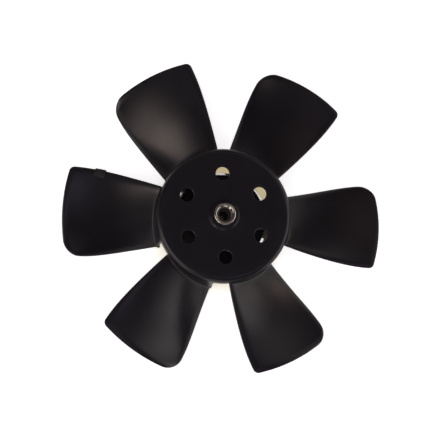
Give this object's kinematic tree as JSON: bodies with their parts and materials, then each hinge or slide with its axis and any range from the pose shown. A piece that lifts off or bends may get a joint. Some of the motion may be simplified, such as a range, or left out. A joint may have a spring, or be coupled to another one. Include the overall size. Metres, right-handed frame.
{
  "type": "engine cooling fan wheel",
  "caption": "Moulded plastic engine cooling fan wheel with wide twisted blades, cup hub with cooling holes and a steel shaft bush.",
  "frame": {"origin": "on the shaft axis, at the plane of the rear of the hub's skirt, on which the wheel lies", "axes": "+Z along the shaft axis, out of the front face; +X through one blade; seen from the front, +Y is up in the picture"},
  "size_m": [0.28, 0.2722, 0.061],
  "materials": {
    "black_plastic": "satin black, as moulded",
    "steel": "turned bright steel",
    "black_disc": "black coat with a bright shoulder",
    "clip_steel": "black coated spring steel"
  },
  "bodies": {
    "root": {"fan_wheel": "black_plastic", "hub_bush": "steel", "splash_disc": "black_disc", "balance_clip": "clip_steel"}
  },
  "joints": []
}
